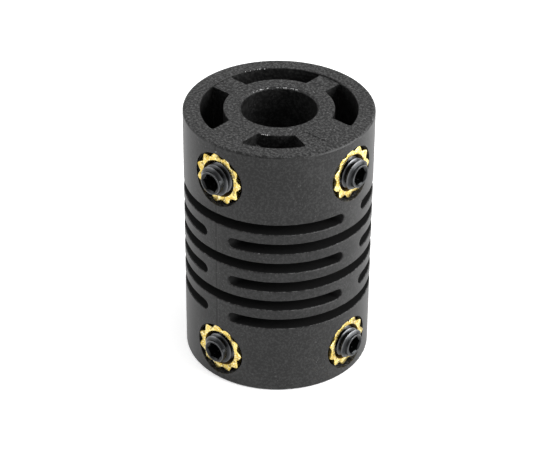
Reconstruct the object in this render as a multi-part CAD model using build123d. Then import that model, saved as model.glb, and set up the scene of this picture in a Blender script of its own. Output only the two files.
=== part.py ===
"""One-piece slotted shaft coupling, moulded in glass-filled plastic, with brass inserts and set screws.

Millimetres. +Z runs along the shaft axis. The origin is the centre of the lower bore's mouth.
The front screws point along -Y and the side screws along +X.
"""

from math import cos, hypot, pi, sin
import os

from build123d import *

# Moulded body
body_diameter = 15.0
body_length = 22.0
bore_diameter = 6.0

# Flexing zone: slots cut across the body, each bridged by two opposite webs
slot_count = 6
slot_width = 0.90
ring_thickness = 0.87
ring_bore_diameter = 6.8
web_waist = 2.1
web_trim = 0.05
slot_edge_round = 0.07

# Hub end faces
hub_ring_diameter = 8.7
pocket_outer_diameter = 12.3
pocket_depth = 5.0
pocket_corner = 0.2
pocket_turn = -2.1
boss_rib_width = 2.9
plain_rib_width = 2.0
rib_relief = 0.12
rib_anchor = 0.65
gate_pad_angle = -20.5
gate_pad_width = 1.8
gate_pad_relief = 0.03
outer_edge_round = 0.20
hub_ring_round = 0.10
wall_round = 0.08
bore_chamfer = 0.15

# Brass inserts
lower_insert_height = 2.85
upper_insert_height = 3.10
insert_face = 7.25
insert_length = 3.2
insert_tip_diameter = 4.36
insert_root_diameter = 3.70
insert_teeth = 11
insert_mouth_chamfer = 0.22
insert_seat_clearance = 0.02
insert_boss_diameter = 5.0
recess_diameter = 4.56
recess_floor = 7.0

# Set screws, M2.5 with a 1.3 mm hexagon socket
screw_diameter = 2.5
screw_length = 4.0
screw_chamfer = 0.32
screw_socket_flats = 1.3
screw_socket_depth = 1.4
screw_cup_diameter = 1.2
screw_cup_depth = 0.3
screw_running_clearance = 0.03
screw_passage_diameter = 2.7

# How far each screw's outer end stands from the shaft axis
screw_ends = {"lower_front": 7.95, "lower_side": 8.10, "upper_front": 8.20, "upper_side": 8.10}

body_radius = body_diameter / 2
slot_pitch = slot_width + ring_thickness
hub_length = (body_length - slot_count * slot_width - (slot_count - 1) * ring_thickness) / 2
from_base = (Align.CENTER, Align.CENTER, Align.MIN)
overrun = 1.0
tolerance = 1e-4

# Turns that carry a shape built along +Z round to each screw's direction
screw_directions = {"front": Rot(90, 0, 0), "side": Rot(0, 90, 0)}


def slot_floor(level):
    """Height of the underside of a slot, where level 1 is the lowest."""
    return hub_length + (level - 1) * slot_pitch


def runs_along_x(level):
    """Whether the webs of this level lie on the X axis. They alternate with webs on the Y axis."""
    return level % 2 == 0


def web_bar(level, width, height):
    """A bar across the whole body, as wide as a pair of webs, standing on z = 0."""
    turn = 0 if runs_along_x(level) else 90
    return Rot(0, 0, turn) * Box(body_diameter + overrun, width, height, align=from_base)


def circles_at(solid, radius, height):
    """The circular edges of a solid that have this radius and height."""
    return [
        edge
        for edge in solid.edges().filter_by(GeomType.CIRCLE)
        if abs(edge.radius - radius) < tolerance and abs(edge.center().Z - height) < tolerance
    ]


def rounded_but_at_webs(solid, height, level):
    """Rounds the outer slot edge at this height, except where the webs of the level join it."""
    rounded = fillet(circles_at(solid, body_radius, height), slot_edge_round)
    join = Pos(0, 0, height - slot_edge_round) * web_bar(level, web_waist + slot_width, 2 * slot_edge_round)
    return rounded + (solid & join)


def outer_cup(level):
    """The outer wall and the floor of the pockets, with the slot of this level above it."""
    cup = Cylinder(body_radius, hub_length, align=from_base)
    cup -= Cylinder(pocket_outer_diameter / 2, pocket_depth, align=from_base)
    cup = fillet(circles_at(cup, body_radius, 0), outer_edge_round)
    cup = fillet(circles_at(cup, pocket_outer_diameter / 2, 0), wall_round)
    return rounded_but_at_webs(cup, hub_length, level)


def hub(level, insert_height, with_gate_pad):
    """A hub standing on its end face, with the slot of this level above it."""
    hub_ring = Cylinder(hub_ring_diameter / 2, pocket_depth + rib_anchor, align=from_base)
    solid = outer_cup(level) + fillet(circles_at(hub_ring, hub_ring_diameter / 2, 0), hub_ring_round)
    for angle in (-90, 0):
        solid += rib(angle, boss_rib_width, 0, 0)
    for angle in (90, 180):
        solid += rib(angle, plain_rib_width, 0, rib_relief)
    if with_gate_pad:
        solid += rib(gate_pad_angle, gate_pad_width, bore_diameter / 2, gate_pad_relief)
    corners = solid.edges().filter_by(Axis.Z).filter_by(lambda edge: edge.length > pocket_depth / 2)
    solid = fillet([edge for edge in corners if is_pocket_corner(edge)], pocket_corner)
    for turn in screw_directions.values():
        solid += Pos(0, 0, insert_height) * turn * insert_boss()
    solid -= Cylinder(bore_diameter / 2, hub_length, align=from_base)
    solid = chamfer(circles_at(solid, bore_diameter / 2, 0), bore_chamfer)
    for turn in screw_directions.values():
        solid -= Pos(0, 0, insert_height) * turn * insert_hole()
    return solid


def is_pocket_corner(edge):
    """Whether an upright edge is where a rib meets the hub ring or the outer wall."""
    middle = edge.center()
    radius = hypot(middle.X, middle.Y)
    return min(abs(radius - hub_ring_diameter / 2), abs(radius - pocket_outer_diameter / 2)) < tolerance


def rib(angle, width, start, top):
    """A rib out to the wall at this angle, whose top lies this far below the end face."""
    reach = pocket_outer_diameter / 2 + rib_anchor
    height = pocket_depth + rib_anchor - top
    block = Box(reach - start, width, height, align=(Align.MIN, Align.CENTER, Align.MIN))
    return Rot(0, 0, angle + pocket_turn) * Pos(start, 0, top) * block


def insert_boss():
    """The round boss that holds an insert where it crosses a pocket."""
    return Cylinder(insert_boss_diameter / 2, pocket_outer_diameter / 2 + rib_anchor, align=from_base)


def insert_hole():
    """What is cut from a hub for one insert: the screw's passage, the seat and the recess at its mouth."""
    reach = body_radius + overrun
    seat_floor = insert_face - insert_length
    passage = Cylinder(screw_passage_diameter / 2, reach, align=from_base)
    seat = Pos(0, 0, seat_floor) * Cylinder(
        insert_tip_diameter / 2 + insert_seat_clearance, reach - seat_floor, align=from_base
    )
    recess = Pos(0, 0, recess_floor) * Cylinder(recess_diameter / 2, reach - recess_floor, align=from_base)
    return passage + seat + recess


def flex_ring(level):
    """The ring above the slot of this level, standing on z = 0."""
    ring = Cylinder(body_radius, ring_thickness, align=from_base)
    ring -= Cylinder(ring_bore_diameter / 2, ring_thickness, align=from_base)
    ring = rounded_but_at_webs(ring, ring_thickness, level + 1)
    return rounded_but_at_webs(ring, 0, level)


def flex_webs(level):
    """The two opposite webs that bridge a slot, with sides as round as the ends of the slot."""
    slot_end = slot_width / 2
    webs = web_bar(level, web_waist + slot_width - 2 * web_trim, slot_width)
    webs &= Cylinder(body_radius, slot_width, align=from_base)
    webs -= Cylinder(ring_bore_diameter / 2, slot_width, align=from_base)
    along = Rot(0, 90, 0) if runs_along_x(level) else Rot(90, 0, 0)
    for side in (-1, 1):
        offset = side * (web_waist / 2 + slot_end)
        place = Pos(0, offset, slot_end) if runs_along_x(level) else Pos(offset, 0, slot_end)
        webs -= place * along * Cylinder(slot_end, body_diameter + overrun)
    return webs


def brass_insert():
    """A toothed insert along +Z, its thread drawn as a plain bore."""
    step = pi / insert_teeth
    radii = (insert_tip_diameter / 2, insert_root_diameter / 2)
    points = [
        (radii[i % 2] * cos(i * step), radii[i % 2] * sin(i * step))
        for i in range(2 * insert_teeth)
    ]
    bore = screw_diameter / 2 + screw_running_clearance
    solid = extrude(make_face(Polyline(points, close=True)), insert_length)
    solid -= Cylinder(bore, insert_length, align=from_base)
    solid = chamfer(circles_at(solid, bore, insert_length), insert_mouth_chamfer)
    return Pos(0, 0, insert_face - insert_length) * solid


def set_screw(end):
    """A set screw along +Z up to this end. It has a cup point and a hexagon socket, and no thread is cut."""
    solid = Cylinder(screw_diameter / 2, screw_length, align=from_base)
    solid = chamfer(circles_at(solid, screw_diameter / 2, 0), screw_chamfer)
    solid = chamfer(circles_at(solid, screw_diameter / 2, screw_length), screw_chamfer)
    socket = RegularPolygon(screw_socket_flats / 2, 6, major_radius=False)
    solid -= Pos(0, 0, screw_length - screw_socket_depth) * extrude(socket, screw_socket_depth)
    solid -= Cone(screw_cup_diameter / 2, 0.1, screw_cup_depth, align=from_base)
    return Pos(0, 0, end - screw_length) * solid


def build():
    """Every node of the coupling, in its place."""
    nodes = {"lower_hub": hub(1, lower_insert_height, with_gate_pad=False)}
    upper = mirror(hub(slot_count, upper_insert_height, with_gate_pad=True), about=Plane.XY)
    nodes["upper_hub"] = Pos(0, 0, body_length) * upper
    for level in range(1, slot_count + 1):
        nodes[f"flex_web_{level}"] = Pos(0, 0, slot_floor(level)) * flex_webs(level)
    for level in range(1, slot_count):
        nodes[f"flex_ring_{level}"] = Pos(0, 0, slot_floor(level) + slot_width) * flex_ring(level)
    heights = {"lower": lower_insert_height, "upper": body_length - upper_insert_height}
    for hub_name, height in heights.items():
        for direction, turn in screw_directions.items():
            name = f"{hub_name}_{direction}"
            place = Pos(0, 0, height) * turn
            nodes[f"{name}_insert"] = place * brass_insert()
            nodes[f"{name}_set_screw"] = place * set_screw(screw_ends[name])
    return nodes


os.makedirs("parts", exist_ok=True)
for name, shape in build().items():
    shape.label = name
    export_step(shape, f"parts/{name}.step")
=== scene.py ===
"""A slotted shaft coupling in speckled black plastic, with toothed brass inserts and black set screws."""

import math

import bpy
import numpy as np
from mathutils import Matrix, Vector


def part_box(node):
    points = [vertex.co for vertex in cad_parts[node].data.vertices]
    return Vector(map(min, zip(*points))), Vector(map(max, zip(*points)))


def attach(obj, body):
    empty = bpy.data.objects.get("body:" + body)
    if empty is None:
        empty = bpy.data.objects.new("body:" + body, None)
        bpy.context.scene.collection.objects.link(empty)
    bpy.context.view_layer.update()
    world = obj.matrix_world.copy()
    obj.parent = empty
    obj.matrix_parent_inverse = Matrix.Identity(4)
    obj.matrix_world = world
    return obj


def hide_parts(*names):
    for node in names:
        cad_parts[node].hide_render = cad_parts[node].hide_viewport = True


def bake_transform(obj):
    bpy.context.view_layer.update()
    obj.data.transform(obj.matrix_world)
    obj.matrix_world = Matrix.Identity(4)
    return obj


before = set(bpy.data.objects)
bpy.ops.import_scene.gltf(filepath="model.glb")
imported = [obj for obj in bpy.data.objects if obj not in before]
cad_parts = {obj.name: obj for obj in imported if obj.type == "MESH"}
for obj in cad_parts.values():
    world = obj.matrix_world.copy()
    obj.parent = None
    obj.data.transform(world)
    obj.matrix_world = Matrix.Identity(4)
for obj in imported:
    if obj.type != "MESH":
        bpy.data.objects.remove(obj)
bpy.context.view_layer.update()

MM = 0.001
TURN = 2 * math.pi

# Sizes in millimetres. What the CAD boxes give is read from them, and the rest is named here.
BODY_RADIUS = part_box("flex_ring_1")[1].x / MM
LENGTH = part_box("upper_hub")[1].z / MM
SLOT_COUNT = 6
BORE_RADIUS = 3.0
RING_BORE_RADIUS = 3.4
FLEX_HALF_LENGTH = (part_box("upper_hub")[0].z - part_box("lower_hub")[1].z) / MM / 2
HUB_RING_RADIUS = 4.35
POCKET_RADIUS = 6.15

# Where the moulding gets painted shade in its slots and its seam's dark line, as depths below its outer
# surface, and the seam's half width
SLOT_SHADE_BAND = (0.07, 0.13)
SLOT_SHADE_SOFTNESS = 0.02
SEAM_DEPTH_BAND = (0.15, 0.1)
SEAM_HALF_WIDTH = (0.13, 0.05)

# A web runs a tongue's length into what it joins, and is a little narrower there
WEB_WAIST = 2.1
WEB_EDGE_ROUND = 0.07
WEB_TONGUE = 0.08
WEB_INSET = 0.03
WEB_LAP = 0.002
WEB_SIDE_LIMIT = 0.04
WEB_SIDE_STEPS = 16
WEB_SHARP = 35

# An insert's outer face is this far from the shaft axis. A tooth's shares are of half its pitch.
INSERT_FACE = 7.25
INSERT_LENGTH = 3.2
INSERT_TIP = 2.18
INSERT_ROOT = 1.85
INSERT_TEETH = 11
INSERT_MOUTH = 1.52
INSERT_BORE = 1.28
INSERT_MOUTH_DEPTH = 0.5
INSERT_MOUTH_LIP = 0.03
INSERT_BEVEL = 0.07
INSERT_FOOT_BEVEL = 0.06
INSERT_EDGE_BREAK = 0.02
TOOTH_FOOT_SHARE = 0.90
TOOTH_FLANK_SHARE = 0.80
TOOTH_STEPS = 13
INSERT_SHARP = 30

# A screw's thread is a ridge round a plain core, and stops short of both ends
SCREW_LENGTH = 4.0
SCREW_RADIUS = 1.25
SCREW_ROOT = 0.98
SCREW_END_RADIUS = 0.95
SCREW_END_BREAK = 0.03
SCREW_END_CHAMFER = 0.12
SCREW_POINT_LEAD = 0.2
SCREW_PITCH = 0.45
SOCKET_FLATS = 1.3
SOCKET_DEPTH = 1.4
SOCKET_CONE_DEPTH = 0.25
SOCKET_LEAD = 0.10
SOCKET_LIP = 0.04
SOCKET_BREAK = 0.01
SOCKET_FLOOR_SHARE = 0.94
SOCKET_FLOOR_BEVEL = 0.05
CUP_RADIUS = 0.6
CUP_DEPTH = 0.3
CUP_LIP = 0.04
POINT_RADIUS = 0.02
SCREW_STEPS = 96
SCREW_SHARP = 28
THREAD_END_GAP = 0.22
THREAD_HALF_WIDTH = 0.17
THREAD_STEPS_PER_TURN = 72
THREAD_FADE = 1.6
# Where the steel is lightened for painted highlight and wear: on the crests, and in a band at the outer
# rim.
CREST_BAND = (0.15, 0.02)
RIM_BAND = (0.05, 0.01)
RIM_INNER_EDGE = (0.80, 0.88)

LOWER_INSERT_HEIGHT = 2.85
UPPER_INSERT_HEIGHT = LENGTH - 3.10
FRONT = Vector((0, -1, 0))
SIDE = Vector((1, 0, 0))
# Each screw's height, direction and outer end's distance from the shaft axis
SCREW_PLACES = {
    "lower_front": (LOWER_INSERT_HEIGHT, FRONT, 7.95),
    "lower_side": (LOWER_INSERT_HEIGHT, SIDE, 8.10),
    "upper_front": (UPPER_INSERT_HEIGHT, FRONT, 8.20),
    "upper_side": (UPPER_INSERT_HEIGHT, SIDE, 8.10),
}


# ---------------------------------------------------------------- node trees

class Wire:
    """A socket in a node tree, on which sums are written as plain expressions."""

    def __init__(self, tree, socket):
        self.tree = tree
        self.socket = socket

    def _math(self, operation, *values):
        return self.tree.node("ShaderNodeMath", {"operation": operation}, *values)[0]

    def __add__(self, other):
        return self._math("ADD", self, other)

    def __radd__(self, other):
        return self._math("ADD", other, self)

    def __sub__(self, other):
        return self._math("SUBTRACT", self, other)

    def __rsub__(self, other):
        return self._math("SUBTRACT", other, self)

    def __mul__(self, other):
        return self._math("MULTIPLY", self, other)

    def __rmul__(self, other):
        return self._math("MULTIPLY", other, self)

    def __truediv__(self, other):
        return self._math("DIVIDE", self, other)

    def __rtruediv__(self, other):
        return self._math("DIVIDE", other, self)

    def root(self):
        return self._math("SQRT", self)

    def size(self):
        return self._math("ABSOLUTE", self)

    def most(self, other):
        return self._math("MAXIMUM", self, other)

    def least(self, other):
        return self._math("MINIMUM", self, other)

    def above(self, edge):
        return self._math("GREATER_THAN", self, edge)

    def between(self, low, high):
        """0 at low and 1 at high, with a smooth rise."""
        settings = {"interpolation_type": "SMOOTHSTEP"}
        return self.tree.node("ShaderNodeMapRange", settings, self, low, high, 0.0, 1.0)[0]


class Tree:
    """A node tree to which node() adds any node."""

    def __init__(self, nodes_and_links):
        self.tree = nodes_and_links

    def feed(self, socket, value):
        if isinstance(value, Wire):
            self.tree.links.new(value.socket, socket)
        else:
            socket.default_value = value

    def node(self, kind, settings, *values, outputs=None, **named):
        """Adds a node, sets it up, fills its sockets in order and by name, and returns its outputs."""
        made = self.tree.nodes.new(kind)
        for key, value in settings.items():
            setattr(made, key, value)
        for socket, value in zip(made.inputs, values):
            if value is not None:
                self.feed(socket, value)
        for key, value in named.items():
            self.feed(made.inputs[key.replace("_", " ")], value)
        found = [made.outputs[key] for key in outputs] if outputs else list(made.outputs)
        return [Wire(self, socket) for socket in found]


class Material(Tree):
    """A node material on object coordinates. shade() sets the surface."""

    def __init__(self, name):
        self.data = bpy.data.materials.new(name)
        self.data.use_nodes = True
        super().__init__(self.data.node_tree)
        self.tree.nodes.clear()
        output = self.tree.nodes.new("ShaderNodeOutputMaterial")
        self.surface = self.tree.nodes.new("ShaderNodeBsdfPrincipled")
        self.tree.links.new(self.surface.outputs[0], output.inputs["Surface"])
        self.point = self.node("ShaderNodeTexCoord", {}, outputs=("Object",))[0]

    def noise(self, grain_mm, detail=2.0, roughness=0.5):
        """Noise whose lumps are about this many millimetres across."""
        return self.node(
            "ShaderNodeTexNoise",
            {},
            Vector=self.point,
            Scale=1 / (grain_mm * MM),
            Detail=detail,
            Roughness=roughness,
            outputs=("Fac",),
        )[0]

    def specks(self, spacing_mm, size):
        """1 in small round specks this far apart, each this share of the spacing, and 0 elsewhere."""
        distance = self.node(
            "ShaderNodeTexVoronoi",
            {"feature": "F1"},
            Vector=self.point,
            Scale=1 / (spacing_mm * MM),
            outputs=("Distance",),
        )[0]
        return distance.between(size, 0.4 * size)

    def place(self):
        """The x, y and z of a point on the piece, in millimetres."""
        point = self.node("ShaderNodeVectorMath", {"operation": "SCALE"}, self.point, Scale=1 / MM)[0]
        return self.node("ShaderNodeSeparateXYZ", {}, point)

    def below_skin(self, radius, band):
        """0 at the first depth below the outer surface and 1 at the second."""
        return radius.between(BODY_RADIUS - band[0], BODY_RADIUS - band[1])

    def stored(self, name):
        """A number stored on the mesh under this name."""
        settings = {"attribute_type": "GEOMETRY", "attribute_name": name}
        return self.node("ShaderNodeAttribute", settings, outputs=("Fac",))[0]

    def facing(self):
        """The x, y and z of the surface's own direction, on the piece at rest."""
        settings = {"vector_type": "NORMAL", "convert_from": "WORLD", "convert_to": "OBJECT"}
        normal = self.node("ShaderNodeNewGeometry", {}, outputs=("True Normal",))[0]
        turned = self.node("ShaderNodeVectorTransform", settings, normal)[0]
        return self.node("ShaderNodeSeparateXYZ", {}, turned)

    def mix(self, share, first, second):
        """A colour between two colours."""
        made = self.tree.nodes.new("ShaderNodeMix")
        made.data_type = "RGBA"
        for socket, value in zip((made.inputs[0], made.inputs[6], made.inputs[7]), (share, first, second)):
            self.feed(socket, value)
        return Wire(self, made.outputs[2])

    def relief(self, height, depth_mm):
        """Roughens the surface's normal with a height of 0 to 1 that stands this many millimetres deep."""
        distance = depth_mm * MM
        bump = self.node("ShaderNodeBump", {}, Height=height, Distance=distance, outputs=("Normal",))[0]
        self.feed(self.surface.inputs["Normal"], bump)

    def shade(self, **inputs):
        for key, value in inputs.items():
            self.feed(self.surface.inputs[key.replace("_", " ")], value)
        return self.data


class Shape(Tree):
    """A Geometry Nodes tree with named inputs, which ends in real, painted geometry."""

    def __init__(self, name, **inputs):
        super().__init__(bpy.data.node_groups.new(name, "GeometryNodeTree"))
        face = self.tree.interface
        face.new_socket(name="Start", in_out="INPUT", socket_type="NodeSocketGeometry")
        self.keys = {}
        for key, kind in {**inputs, "Finish": "Material"}.items():
            socket = face.new_socket(name=key, in_out="INPUT", socket_type=f"NodeSocket{kind}")
            self.keys[key] = socket.identifier
        face.new_socket(name="Result", in_out="OUTPUT", socket_type="NodeSocketGeometry")
        self.entry = self.tree.nodes.new("NodeGroupInput")

    def given(self, name):
        return Wire(self, self.entry.outputs[name])

    def place(self):
        """The x, y and z of a point, in millimetres, and its distance from the Z axis."""
        position = self.node("GeometryNodeInputPosition", {})[0]
        scaled = self.node("ShaderNodeVectorMath", {"operation": "SCALE"}, position, Scale=1 / MM)[0]
        x, y, z = self.node("ShaderNodeSeparateXYZ", {}, scaled)
        return x, y, z, (x * x + y * y).root()

    def store(self, geometry, name, value):
        """Keeps a number on the geometry's points, for a finish to read."""
        settings = {"data_type": "FLOAT", "domain": "POINT"}
        return self.node("GeometryNodeStoreNamedAttribute", settings, geometry, Name=name, Value=value)[0]

    def join(self, *parts):
        """Several geometries as one."""
        made = self.tree.nodes.new("GeometryNodeJoinGeometry")
        for part in parts:
            self.tree.links.new(part.socket, made.inputs[0])
        return Wire(self, made.outputs[0])

    def end(self, geometry, weld_mm):
        """Makes instances real, welds what touches and gives it all the finish."""
        real = self.node("GeometryNodeRealizeInstances", {}, geometry)[0]
        welded = self.node("GeometryNodeMergeByDistance", {}, real, Distance=weld_mm * MM)[0]
        painted = self.node("GeometryNodeSetMaterial", {}, welded, Material=self.given("Finish"))[0]
        leave = self.tree.nodes.new("NodeGroupOutput")
        self.tree.links.new(painted.socket, leave.inputs[0])

    def make(self, name, start, **values):
        """A plain object from the tree, which starts from this mesh."""
        obj = bpy.data.objects.new(name, start)
        bpy.context.scene.collection.objects.link(obj)
        modifier = obj.modifiers.new("shape", "NODES")
        modifier.node_group = self.tree
        for key, value in values.items():
            modifier[self.keys[key]] = value
        evaluated = obj.evaluated_get(bpy.context.evaluated_depsgraph_get())
        mesh = bpy.data.meshes.new_from_object(evaluated)
        obj.modifiers.clear()
        obj.data = mesh
        mesh.name = name
        return obj


# ---------------------------------------------------------------- finishes

def grey(value):
    return (value, value, value, 1.0)


def moulded_plastic():
    """Black glass-filled plastic: grainy end faces with pale fibre specks, which also serve as painted
    glints, smoother sides with a seam, and painted shade that makes the slots near black.
    """
    paint = Material("moulded_plastic")
    x, y, z = paint.place()
    radius = (x * x + y * y).root()
    outside_half_length = FLEX_HALF_LENGTH + SLOT_SHADE_SOFTNESS
    in_zone = (z - LENGTH / 2).size().between(outside_half_length, FLEX_HALF_LENGTH)
    slot_shade = paint.below_skin(radius, SLOT_SHADE_BAND) * in_zone
    open_face = 1 - slot_shade
    end_face = paint.facing()[2].size().between(0.5, 0.9) * open_face
    grain = paint.noise(0.20, detail=3.0, roughness=0.75)
    cloud = paint.noise(2.6, detail=2.0)
    share = grain.between(0.46, 0.59) * (0.11 + 0.37 * end_face) + (cloud - 0.5) * 0.14
    tone = paint.mix(share, grey(0.0045), grey(0.14))
    # Pale specks where glass fibres show, made pale enough to serve also as painted glints, most on the end
    # faces.
    fibre_and_glint = paint.specks(0.34, 0.24) * paint.noise(0.9).between(0.48, 0.60)
    tone = paint.mix(fibre_and_glint * (0.10 + 0.40 * end_face), tone, grey(0.24))
    seam = x.size().between(*SEAM_HALF_WIDTH) * paint.below_skin(radius, SEAM_DEPTH_BAND)
    nick = paint.noise(0.40).between(0.64, 0.68)
    tone = paint.mix(seam * 0.9, tone, grey(0.002))
    tone = paint.mix(seam * nick * 0.6, tone, grey(0.16))
    # Painted shade: the ledges, bores and web sides down in the slots are made near black.
    tone = paint.mix(slot_shade * 0.95, tone, grey(0.002))
    height = grain * (0.25 + 0.75 * end_face) + 0.4 * fibre_and_glint - 0.6 * seam
    paint.relief(height, 0.022)
    rough = 0.36 + 0.14 * grain + 0.08 * end_face + 0.3 * slot_shade
    return paint.shade(Base_Color=tone, Roughness=rough, Specular_IOR_Level=0.25, IOR=1.55)


def whitened_burr():
    """Plastic that has gone pale where a tool tore it, made pale enough to serve also as painted glints on
    the torn edges.
    """
    paint = Material("whitened_burr")
    tone = paint.mix(paint.noise(0.05).between(0.35, 0.65), grey(0.14), grey(0.72))
    paint.relief(paint.noise(0.04), 0.01)
    return paint.shade(Base_Color=tone, Roughness=0.5, IOR=1.5)


def turned_brass():
    """Yellow brass with fine pale patches of painted highlight, stained brown in random patches, and with
    painted shade round its mouth and in its bore.
    """
    paint = Material("turned_brass")
    wave = paint.noise(0.7, detail=3.0)
    fine = paint.noise(0.14, detail=2.0)
    tone = paint.mix(wave.between(0.35, 0.65), (0.60, 0.43, 0.085, 1), (0.90, 0.73, 0.25, 1))
    # Painted highlight: fine patches lightened towards a pale yellow.
    tone = paint.mix(fine.between(0.54, 0.66) * 0.85, tone, (1.0, 0.94, 0.66, 1))
    stain_and_mouth_shade = paint.noise(0.35, detail=3.0).between(0.52, 0.66) * 0.7
    # Painted shade in the mouth and bore, taken together with the random brown stains.
    stain_and_mouth_shade = stain_and_mouth_shade.most(paint.stored("hollow"))
    tone = paint.mix(stain_and_mouth_shade, tone, (0.11, 0.065, 0.015, 1))
    paint.relief(0.6 * wave + 0.4 * fine, 0.035)
    return paint.shade(Base_Color=tone, Roughness=0.18 + 0.22 * fine + 0.25 * stain_and_mouth_shade, Metallic=1.0)


def black_oxide_steel():
    """Black oxide steel, lighter on its thread's crests and its outer rim: painted highlight there, with
    some wear.
    """
    paint = Material("black_oxide_steel")
    wave = paint.noise(0.9, detail=2.0)
    fine = paint.noise(0.10, detail=2.0)
    highlit_and_worn = paint.stored("crest_highlight_and_wear")
    crest_highlight_and_wear = highlit_and_worn * highlit_and_worn * highlit_and_worn * (0.10 + 0.9 * (wave - 0.3))
    tone = paint.mix(crest_highlight_and_wear, (0.020, 0.021, 0.022, 1), (0.42, 0.425, 0.44, 1))
    paint.relief(fine, 0.004)
    return paint.shade(Base_Color=tone, Roughness=0.22 + 0.16 * wave, Metallic=0.9)


def pale_floor():
    paint = Material("pale_floor")
    tone = paint.mix(paint.noise(50, detail=1.0), grey(0.90), grey(0.93))
    paint.shade(Emission_Color=grey(1.0), Emission_Strength=0.42)
    return paint.shade(Base_Color=tone, Roughness=0.9, Specular_IOR_Level=0.1)


PLASTIC = moulded_plastic()
BURR_AND_GLINT = whitened_burr()
BRASS = turned_brass()
STEEL = black_oxide_steel()


# ---------------------------------------------------------------- meshes

def mesh_of(name, points, faces):
    """A mesh from points in millimetres."""
    mesh = bpy.data.meshes.new(name)
    mesh.from_pydata([tuple(float(c) * MM for c in point) for point in points], [], faces)
    mesh.validate()
    return mesh


def smoothed(obj, sharp):
    """Shades a piece smooth but for edges sharper than this angle, in degrees."""
    obj.data.shade_smooth()
    obj.data.set_sharp_from_angle(angle=math.radians(sharp))
    return obj


def placed(obj, height, direction):
    """Turns a shape built along +Z to point along a screw's direction at its height."""
    x_axis = Vector((0, 0, 1)).cross(direction)
    turn = Matrix((x_axis, direction.cross(x_axis), direction)).transposed().to_4x4()
    obj.data.transform(Matrix.Translation((0, 0, height * MM)) @ turn)
    return obj


def ring(radii, height, angles):
    """Points round the Z axis, at these angles."""
    radii = np.broadcast_to(radii, np.shape(angles))
    return [(r * math.cos(t), r * math.sin(t), height) for r, t in zip(radii, angles)]


def strips(rows, columns, start=0, closed=True):
    """Quads between rows of points. A closed row's last point joins its first."""
    faces = []
    for row in range(rows - 1):
        for column in range(columns if closed else columns - 1):
            a = start + row * columns + column
            b = start + row * columns + (column + 1) % columns
            faces.append((a, b, b + columns, a + columns))
    return faces


def capped(loops, start=0):
    """Points and faces of a solid through closed loops, flat at both ends."""
    columns = len(loops[0])
    points = [point for loop in loops for point in loop]
    last = start + (len(loops) - 1) * columns
    faces = strips(len(loops), columns, start)
    faces.append(tuple(range(start, start + columns))[::-1])
    faces.append(tuple(range(last, last + columns)))
    return points, faces


# ---------------------------------------------------------------- webs

def arc(radius, low, high, steps):
    return [(radius * math.cos(t), radius * math.sin(t)) for t in np.linspace(low, high, steps)]


def web_outline(half, shrink):
    """A web's outline from above, as points counter-clockwise: bore side, then the rounded outside."""
    outer = BODY_RADIUS - shrink
    inner = RING_BORE_RADIUS + shrink
    bore_reach = math.asin(half / inner)
    centre_y = half - WEB_EDGE_ROUND
    centre_x = math.sqrt((outer - WEB_EDGE_ROUND) ** 2 - centre_y**2)
    face_reach = math.asin(centre_y / (outer - WEB_EDGE_ROUND))
    corner = [(centre_x + x, y - centre_y) for x, y in arc(WEB_EDGE_ROUND, -math.pi / 2, -face_reach, 4)]
    across = arc(outer, -face_reach, face_reach, 12)[1:-1]
    far_corner = [(x, -y) for x, y in reversed(corner)]
    return arc(inner, bore_reach, -bore_reach, 12) + corner + across + far_corner


def web_piece(level):
    """The two opposite webs of a level, with hollow sides. They run a little way into what they join."""
    low, high = (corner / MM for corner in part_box(f"flex_web_{level}"))
    half_slot = (high.z - low.z) / 2
    middle = (high.z + low.z) / 2
    widest = WEB_WAIST / 2 + half_slot
    side_reach = half_slot - WEB_LAP
    side_angles = [math.pi * i / WEB_SIDE_STEPS for i in range(WEB_SIDE_STEPS + 1)]
    stations = [(-half_slot - WEB_TONGUE, WEB_INSET), (-half_slot - WEB_LAP, WEB_INSET)]
    stations += [(-side_reach * math.cos(angle), 0.0) for angle in side_angles]
    stations += [(half_slot + WEB_LAP, WEB_INSET), (half_slot + WEB_TONGUE, WEB_INSET)]
    points, faces = [], []
    for angle in (0, 180) if high.x > high.y else (90, 270):
        loops = []
        turn = np.array(Matrix.Rotation(math.radians(angle), 3, "Z"))
        for z, shrink in stations:
            inside = min(abs(z), half_slot)
            half = widest - math.sqrt(half_slot**2 - inside**2) - shrink
            outline = web_outline(min(half, widest - WEB_SIDE_LIMIT), shrink)
            loops.append(np.array([(x, y, middle + z) for x, y in outline]) @ turn.T)
        more_points, more_faces = capped(loops, start=len(points))
        points += more_points
        faces += more_faces
    mesh = mesh_of(f"web_pair_{level}", points, faces)
    mesh.materials.append(PLASTIC)
    obj = bpy.data.objects.new(mesh.name, mesh)
    bpy.context.scene.collection.objects.link(obj)
    return smoothed(obj, WEB_SHARP)


# ---------------------------------------------------------------- brass inserts

def tooth_circle():
    """Repeats one tooth round the Z axis and welds the copies into an insert."""
    shape = Shape("tooth_circle", Teeth="Int")
    teeth = shape.given("Teeth")
    spots = shape.node("GeometryNodePoints", {}, Count=teeth)[0]
    turn = shape.node("GeometryNodeInputIndex", {})[0] * (TURN / teeth)
    rotation = shape.node("FunctionNodeAxisAngleToRotation", {}, Axis=(0, 0, 1), Angle=turn)[0]
    copies = shape.node(
        "GeometryNodeInstanceOnPoints", {}, Points=spots, Instance=shape.given("Start"), Rotation=rotation
    )[0]
    real = shape.node("GeometryNodeRealizeInstances", {}, copies)[0]
    radius = shape.place()[3]
    # Marks the mouth and bore, which the brass darkens as painted shade.
    hollow = radius.between(INSERT_MOUTH + INSERT_MOUTH_LIP, INSERT_MOUTH)
    shape.end(shape.store(real, "hollow", hollow), weld_mm=0.002)
    return shape


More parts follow.
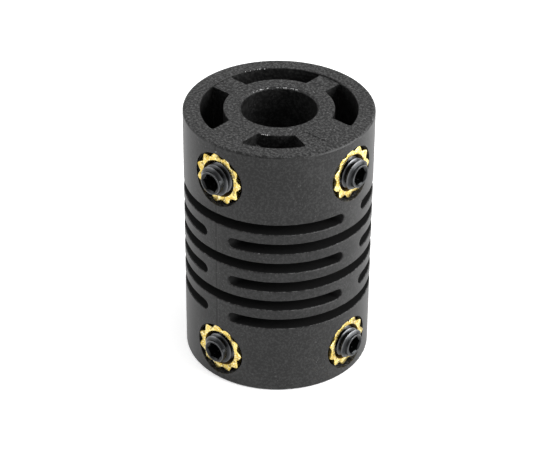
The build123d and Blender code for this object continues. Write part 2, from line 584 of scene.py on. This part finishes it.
def one_tooth():
    """One tooth's share of an insert, with bevelled ends, a flat face, a wide mouth and the bore."""
    half = TURN / INSERT_TEETH / 2
    angles = np.linspace(-half, half, TOOTH_STEPS)
    rise = np.clip((TOOTH_FOOT_SHARE - np.abs(angles) / half) / TOOTH_FLANK_SHARE, 0, 1)
    outline = INSERT_ROOT + (INSERT_TIP - INSERT_ROOT) * rise
    foot = INSERT_FACE - INSERT_LENGTH
    rows = [
        ring(INSERT_BORE, foot, angles),
        ring(outline - INSERT_FOOT_BEVEL, foot, angles),
        ring(outline, foot + INSERT_FOOT_BEVEL, angles),
        ring(outline, INSERT_FACE - INSERT_BEVEL, angles),
        ring(outline - INSERT_EDGE_BREAK, INSERT_FACE - INSERT_EDGE_BREAK, angles),
        ring(outline - INSERT_BEVEL, INSERT_FACE, angles),
        ring(INSERT_MOUTH + INSERT_MOUTH_LIP, INSERT_FACE, angles),
        ring(INSERT_MOUTH, INSERT_FACE - INSERT_EDGE_BREAK, angles),
        ring(INSERT_BORE, INSERT_FACE - INSERT_MOUTH_DEPTH, angles),
        ring(INSERT_BORE, foot, angles),
    ]
    points = [point for row in rows for point in row]
    return mesh_of("one_tooth", points, strips(len(rows), len(angles), closed=False))


# ---------------------------------------------------------------- set screws

def thread_ridge():
    """Winds a ridge along a helix round the starting shape, fading in and out at its ends."""
    shape = Shape(
        "thread_ridge",
        Turns="Float",
        Radius="Float",
        Foot="Float",
        Rise="Float",
        Depth="Float",
        Width="Float",
        End="Float",
    )
    radius, foot, rise = (shape.given(key) for key in ("Radius", "Foot", "Rise"))
    depth, width, turns = (shape.given(key) for key in ("Depth", "Width", "Turns"))
    helix = shape.node(
        "GeometryNodeCurveSpiral",
        {},
        Resolution=THREAD_STEPS_PER_TURN,
        Rotations=turns,
        Start_Radius=radius,
        End_Radius=radius,
        Height=rise,
    )[0]
    lift = shape.node("ShaderNodeCombineXYZ", {}, 0.0, 0.0, foot)[0]
    helix = shape.node("GeometryNodeSetPosition", {}, helix, Offset=lift)[0]
    helix = shape.node("GeometryNodeSetCurveNormal", {"mode": "Z_UP"}, helix)[0]
    along = shape.node("GeometryNodeSplineParameter", {}, outputs=("Factor",))[0]
    fade = (along.least(1 - along) * turns * THREAD_FADE).least(1.0)
    corners = [
        shape.node("ShaderNodeCombineXYZ", {}, across, up, 0.0)[0]
        for across, up in ((depth, 0.0), (0.0, width), (-1 * depth, 0.0), (0.0, -1 * width))
    ]
    profile = shape.node("GeometryNodeCurvePrimitiveQuadrilateral", {"mode": "POINTS"})[0]
    sockets = [socket for socket in profile.socket.node.inputs if socket.name.startswith("Point")]
    for socket, corner in zip(sockets, corners):
        shape.feed(socket, corner)
    faded = shape.node("GeometryNodeSetCurveRadius", {}, helix, Radius=fade)[0]
    ridge = shape.node("GeometryNodeCurveToMesh", {}, faded, profile, Fill_Caps=True)[0]
    height, reach = shape.place()[2:]
    # Crests and outer rim are stored for the steel's painted highlight and wear.
    crest = reach.between(SCREW_ROOT + CREST_BAND[0], SCREW_RADIUS - CREST_BAND[1])
    near_end = height.between(shape.given("End") - RIM_BAND[0], shape.given("End") - RIM_BAND[1])
    rim = near_end * reach.between(*RIM_INNER_EDGE)
    screw = shape.join(shape.given("Start"), ridge)
    shape.end(shape.store(screw, "crest_highlight_and_wear", crest.most(rim)), weld_mm=0.0005)
    return shape


def screw_core(end):
    """A set screw without its thread, up to this end: chamfered ends, a hexagon socket and a cup point."""
    angles = np.linspace(0, TURN, SCREW_STEPS, endpoint=False)
    foot = end - SCREW_LENGTH
    flats = SOCKET_FLATS / 2
    hexagon = np.array([flats / math.cos((t % (TURN / 6)) - TURN / 12) for t in angles])
    corner = flats / math.cos(TURN / 12)
    loops = [
        ring(POINT_RADIUS, foot + CUP_DEPTH, angles),
        ring(CUP_RADIUS, foot + 0.02, angles),
        ring(CUP_RADIUS + CUP_LIP, foot, angles),
        ring(SCREW_ROOT - SCREW_POINT_LEAD, foot + 0.01, angles),
        ring(SCREW_ROOT, foot + SCREW_POINT_LEAD, angles),
        ring(SCREW_ROOT, end - SCREW_END_CHAMFER, angles),
        ring(SCREW_END_RADIUS, end - SCREW_END_BREAK, angles),
        ring(SCREW_END_RADIUS - SCREW_END_BREAK, end, angles),
        ring(corner + SOCKET_LIP, end, angles),
        ring(corner + SOCKET_BREAK, end - 2 * SOCKET_BREAK, angles),
        ring(hexagon, end - SOCKET_LEAD, angles),
        ring(hexagon, end - SOCKET_DEPTH + SOCKET_FLOOR_BEVEL, angles),
        ring(hexagon * SOCKET_FLOOR_SHARE, end - SOCKET_DEPTH, angles),
        ring(POINT_RADIUS, end - SOCKET_DEPTH - SOCKET_CONE_DEPTH, angles),
    ]
    return mesh_of("screw_core", *capped(loops))


# ---------------------------------------------------------------- burrs

# Where edges are torn, just inside their chamfers and rounds
BORE_EDGE = BORE_RADIUS + 0.07
HUB_RING_EDGE = HUB_RING_RADIUS - 0.04
POCKET_EDGE = POCKET_RADIUS + 0.03

# Torn patches: the edge's radius, its depth below the end face, azimuth, spread and lump size
TORN_EDGES = [
    (BORE_EDGE, 0.06, -112, 0.9, 0.055),
    (BORE_EDGE, 0.06, -150, 1.0, 0.035),
    (BORE_EDGE, 0.06, 198, 0.9, 0.060),
    (HUB_RING_EDGE, 0.05, 24, 0.6, 0.060),
    (HUB_RING_EDGE, 0.10, 163, 0.8, 0.050),
    (POCKET_EDGE, 0.05, -122, 1.0, 0.055),
    (POCKET_EDGE, 0.05, 61, 0.9, 0.060),
]

# How far burrs stay below the end faces, and how many places there are for one round an edge
BURR_SINK = 0.004
BURR_PLACES = 190


def burr_patch():
    """Scatters small torn lumps along part of a circular edge, thickest at the middle of the patch."""
    shape = Shape(
        "burr_patch",
        Radius="Float",
        Height="Float",
        Middle="Vector",
        Spread="Float",
        Size="Float",
        Seed="Int",
    )
    seed = shape.given("Seed")
    edge = shape.node("GeometryNodeMeshCircle", {}, Vertices=BURR_PLACES, Radius=shape.given("Radius"))[0]
    lift = shape.node("ShaderNodeCombineXYZ", {}, 0.0, 0.0, shape.given("Height"))[0]
    position = shape.node("GeometryNodeInputPosition", {})[0]
    apart = shape.node("ShaderNodeVectorMath", {"operation": "DISTANCE"}, position, shape.given("Middle"))
    near = 1 - apart[1] / shape.given("Spread")
    chance = shape.node("FunctionNodeRandomValue", {"data_type": "FLOAT"}, outputs=("Value",), Seed=seed)[0]
    lump = shape.node("GeometryNodeMeshIcoSphere", {}, Radius=shape.given("Size"), Subdivisions=1)[0]
    settings = {"data_type": "FLOAT_VECTOR"}
    least, most = (0.4, 0.4, 0.3), (2.0, 1.2, 0.9)
    stretch = shape.node("FunctionNodeRandomValue", settings, least, most, Seed=seed)[0]
    tilt = shape.node("FunctionNodeRandomValue", settings, (0, 0, 0), (TURN, TURN, TURN), Seed=seed)[0]
    lumps = shape.node(
        "GeometryNodeInstanceOnPoints",
        {},
        Points=edge,
        Selection=(near - chance).above(0.0),
        Instance=lump,
        Rotation=shape.node("FunctionNodeEulerToRotation", {}, tilt)[0],
        Scale=stretch,
    )[0]
    lifted = shape.node("GeometryNodeSetPosition", {}, lumps, Offset=lift)[0]
    real = shape.node("GeometryNodeRealizeInstances", {}, lifted)[0]
    height = shape.place()[2]
    inside = height.most(BURR_SINK).least(LENGTH - BURR_SINK)
    push = shape.node("ShaderNodeCombineXYZ", {}, 0.0, 0.0, (inside - height) * MM)[0]
    shape.end(shape.node("GeometryNodeSetPosition", {}, real, Offset=push)[0], weld_mm=0.0001)
    return shape


def burrs(name, shape, radius, height, azimuth, spread, size, seed):
    """One torn patch of an edge, whose middle is at this azimuth from the front, in degrees."""
    a = math.radians(azimuth)
    middle = (radius * MM * math.sin(a), -radius * MM * math.cos(a), 0)
    return shape.make(
        name,
        bpy.data.meshes.new(name),
        Radius=radius * MM,
        Height=height * MM,
        Middle=middle,
        Spread=spread * MM,
        Size=size * MM,
        Seed=seed,
        Finish=BURR_AND_GLINT,
    )


# ---------------------------------------------------------------- the coupling

def paint_moulding():
    """Gives the hubs and rings, which keep their CAD shape, the plastic's finish."""
    rings = [f"flex_ring_{level}" for level in range(1, SLOT_COUNT)]
    for node_name in ["lower_hub", "upper_hub"] + rings:
        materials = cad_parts[node_name].data.materials
        materials.clear()
        materials.append(PLASTIC)


def add_webs():
    """Puts a pair of webs in each slot, in place of the CAD's webs."""
    for level in range(1, SLOT_COUNT + 1):
        web = web_piece(level)
        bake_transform(web)
        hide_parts(f"flex_web_{level}")


def add_insert(shape, place_name):
    """Puts a brass insert in its place, on its hub."""
    height, direction, _ = SCREW_PLACES[place_name]
    insert = shape.make(f"{place_name}_brass_insert", one_tooth(), Teeth=INSERT_TEETH, Finish=BRASS)
    smoothed(placed(insert, height, direction), INSERT_SHARP)
    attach(insert, place_name.split("_")[0] + "_hub")
    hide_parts(f"{place_name}_insert")


def add_screw(shape, place_name):
    """Puts a set screw in its place, on its own body."""
    height, direction, end = SCREW_PLACES[place_name]
    thread_length = SCREW_LENGTH - 2 * THREAD_END_GAP
    screw = shape.make(
        f"{place_name}_screw",
        screw_core(end),
        Turns=thread_length / SCREW_PITCH,
        Radius=SCREW_ROOT * MM,
        Foot=(end - SCREW_LENGTH + THREAD_END_GAP) * MM,
        Rise=thread_length * MM,
        Depth=(SCREW_RADIUS - SCREW_ROOT) * MM,
        Width=THREAD_HALF_WIDTH * MM,
        End=end,
        Finish=STEEL,
    )
    smoothed(placed(screw, height, direction), SCREW_SHARP)
    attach(screw, f"{place_name}_set_screw")
    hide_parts(f"{place_name}_set_screw")


def add_burrs(shape, hub_name, face, way, first_seed):
    """Puts the torn patches on a hub's end face, which lies at this height and looks this way."""
    for number, (radius, depth, azimuth, spread, size) in enumerate(TORN_EDGES):
        name = f"{hub_name}_burrs_{number + 1}"
        edge = burrs(name, shape, radius, face - way * depth, azimuth, spread, size, first_seed + number)
        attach(edge, hub_name)


paint_moulding()
add_webs()
TEETH = tooth_circle()
THREAD = thread_ridge()
for place_name in SCREW_PLACES:
    add_insert(TEETH, place_name)
    add_screw(THREAD, place_name)
TORN = burr_patch()
add_burrs(TORN, "upper_hub", face=LENGTH, way=1, first_seed=3)
add_burrs(TORN, "lower_hub", face=0.0, way=-1, first_seed=23)


# ---------------------------------------------------------------- floor, lights and camera

# Angles in degrees, the lens in millimetres, and distances in metres but for the floor's
CAMERA_AZIMUTH = 39.2
CAMERA_ELEVATION = 33.51
CAMERA_DISTANCE = 0.16639
CAMERA_LENS = 134.68
CAMERA_ROLL = 0.571
CAMERA_AIM_RIGHT = -0.00012
CAMERA_AIM_UP = -0.00016
CENTRE = Vector((0, 0, LENGTH * MM / 2))
FLOOR_REACH = 3000
FLOOR_GAP = 0.01


def towards(azimuth, elevation):
    """A direction away from the coupling, from angles in degrees. Azimuth 0 is in front of it."""
    a, e = math.radians(azimuth), math.radians(elevation)
    return Vector((math.sin(a) * math.cos(e), -math.cos(a) * math.cos(e), math.sin(e)))


def floor():
    """A wide pale floor just under the coupling."""
    signs = ((-1, -1), (1, -1), (1, 1), (-1, 1))
    corners = [(FLOOR_REACH * x, FLOOR_REACH * y, -FLOOR_GAP) for x, y in signs]
    mesh = mesh_of("floor", corners, [(0, 1, 2, 3)])
    mesh.materials.append(pale_floor())
    obj = bpy.data.objects.new("floor", mesh)
    bpy.context.scene.collection.objects.link(obj)


def softbox(name, azimuth, elevation, distance, size, power):
    """A rectangular area light that faces the coupling."""
    light = bpy.data.lights.new(name, "AREA")
    light.shape = "RECTANGLE"
    light.size, light.size_y = size
    light.energy = power
    obj = bpy.data.objects.new(name, light)
    away = towards(CAMERA_AZIMUTH + azimuth, elevation)
    obj.location = away * distance + CENTRE
    obj.rotation_euler = away.to_track_quat("Z", "Y").to_euler()
    bpy.context.scene.collection.objects.link(obj)


def studio():
    """A pale tent with a box above, a strong, low box to the right and weak ones left and behind."""
    world = bpy.data.worlds.new("studio")
    world.use_nodes = True
    world.node_tree.nodes["Background"].inputs[0].default_value = (1, 1, 1, 1)
    world.node_tree.nodes["Background"].inputs[1].default_value = 0.55
    bpy.context.scene.world = world
    softbox("top_box", azimuth=0, elevation=75, distance=0.5, size=(0.4, 0.4), power=0.5)
    softbox("right_box", azimuth=79, elevation=10, distance=0.3, size=(0.25, 0.35), power=2.2)
    softbox("left_box", azimuth=-92, elevation=12, distance=0.4, size=(0.25, 0.4), power=0.65)
    softbox("back_box", azimuth=200, elevation=35, distance=0.4, size=(0.3, 0.2), power=0.13)


def camera():
    """The main view: down at the coupling from its front and side screws."""
    away = towards(CAMERA_AZIMUTH, CAMERA_ELEVATION)
    right = Vector((0, 0, 1)).cross(away).normalized()
    up = away.cross(right)
    place = CENTRE + away * CAMERA_DISTANCE
    look = (CENTRE + right * CAMERA_AIM_RIGHT + up * CAMERA_AIM_UP - place).normalized()
    right = Matrix.Rotation(-math.radians(CAMERA_ROLL), 3, look) @ look.cross(up).normalized()
    up = right.cross(look)
    data = bpy.data.cameras.new("camera")
    data.lens = CAMERA_LENS
    data.clip_start = 0.005
    data.clip_end = 20
    obj = bpy.data.objects.new("camera", data)
    obj.matrix_world = Matrix.Translation(place) @ Matrix((right, up, -look)).transposed().to_4x4()
    bpy.context.scene.collection.objects.link(obj)
    bpy.context.scene.camera = obj


floor()
studio()
camera()
bpy.context.scene.view_settings.view_transform = "Standard"
